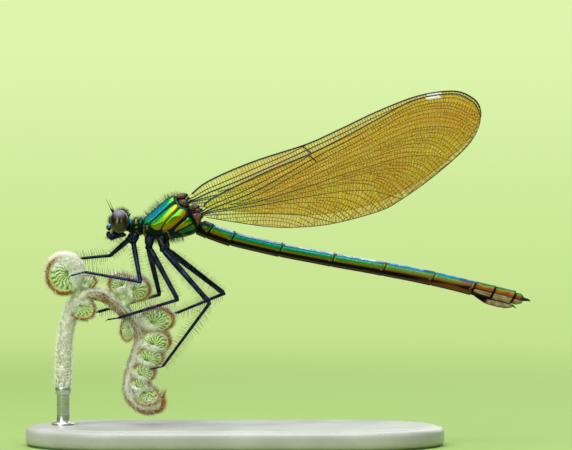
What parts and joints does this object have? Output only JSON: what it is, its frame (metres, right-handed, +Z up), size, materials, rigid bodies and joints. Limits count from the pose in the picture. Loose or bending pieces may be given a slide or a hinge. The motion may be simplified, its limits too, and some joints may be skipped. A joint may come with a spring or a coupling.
{
  "type": "damselfly",
  "caption": "Still, life-size female beautiful demoiselle damselfly with closed amber wings, gripping a cut length of curled fern stalk on a plain display stand.",
  "frame": {"origin": "centre of the underside of the stand's base", "axes": "+X towards the tip of the abdomen, -X where the head faces, +Y to the insect's right, +Z up"},
  "size_m": [0.0556, 0.022, 0.0389],
  "materials": {
    "green_shell": "smooth iridescent green shell with golden and blue reflections",
    "abdomen_shell": "smooth iridescent green shell, cyan along the back and black below",
    "bronze_shell": "coppery brown shell with pale side patches",
    "black_shell": "glossy blue-black shell",
    "dark_eye": "glossy dark brown compound eye, paler below",
    "amber_wing": "amber-brown clear membrane with a dense net of dark veins",
    "fern": "woolly pale green fern with rusty hair on its edges",
    "stand_base": "fine satin cast resin",
    "stand_rod": "brushed steel"
  },
  "bodies": {
    "root": {"abdomen_segment_01": "abdomen_shell", "abdomen_segment_02": "abdomen_shell", "abdomen_segment_03": "abdomen_shell", "abdomen_segment_04": "abdomen_shell", "abdomen_segment_05": "abdomen_shell", "abdomen_segment_06": "abdomen_shell", "abdomen_segment_07": "abdomen_shell", "abdomen_segment_08": "bronze_shell", "abdomen_segment_09": "bronze_shell", "abdomen_segment_10": "bronze_shell", "antenna_left": "black_shell", "antenna_right": "black_shell", "cercus_left": "black_shell", "cercus_right": "black_shell", "eye_left": "dark_eye", "eye_right": "dark_eye", "foreleg_left_femur": "black_shell", "foreleg_left_tibia": "black_shell", "foreleg_right_femur": "black_shell", "foreleg_right_tibia": "black_shell", "forewing_left": "amber_wing", "forewing_right": "amber_wing", "head": "green_shell", "hindleg_left_femur": "black_shell", "hindleg_left_tibia": "black_shell", "hindleg_right_femur": "black_shell", "hindleg_right_tibia": "black_shell", "hindwing_left": "amber_wing", "hindwing_right": "amber_wing", "midleg_left_femur": "black_shell", "midleg_left_tibia": "black_shell", "midleg_right_femur": "black_shell", "midleg_right_tibia": "black_shell", "mouthparts": "black_shell", "neck": "black_shell", "ovipositor": "bronze_shell", "perch_curl": "fern", "perch_stalk": "fern", "prothorax": "green_shell", "stand_base": "stand_base", "stand_rod": "stand_rod", "thorax": "green_shell"}
  },
  "joints": []
}
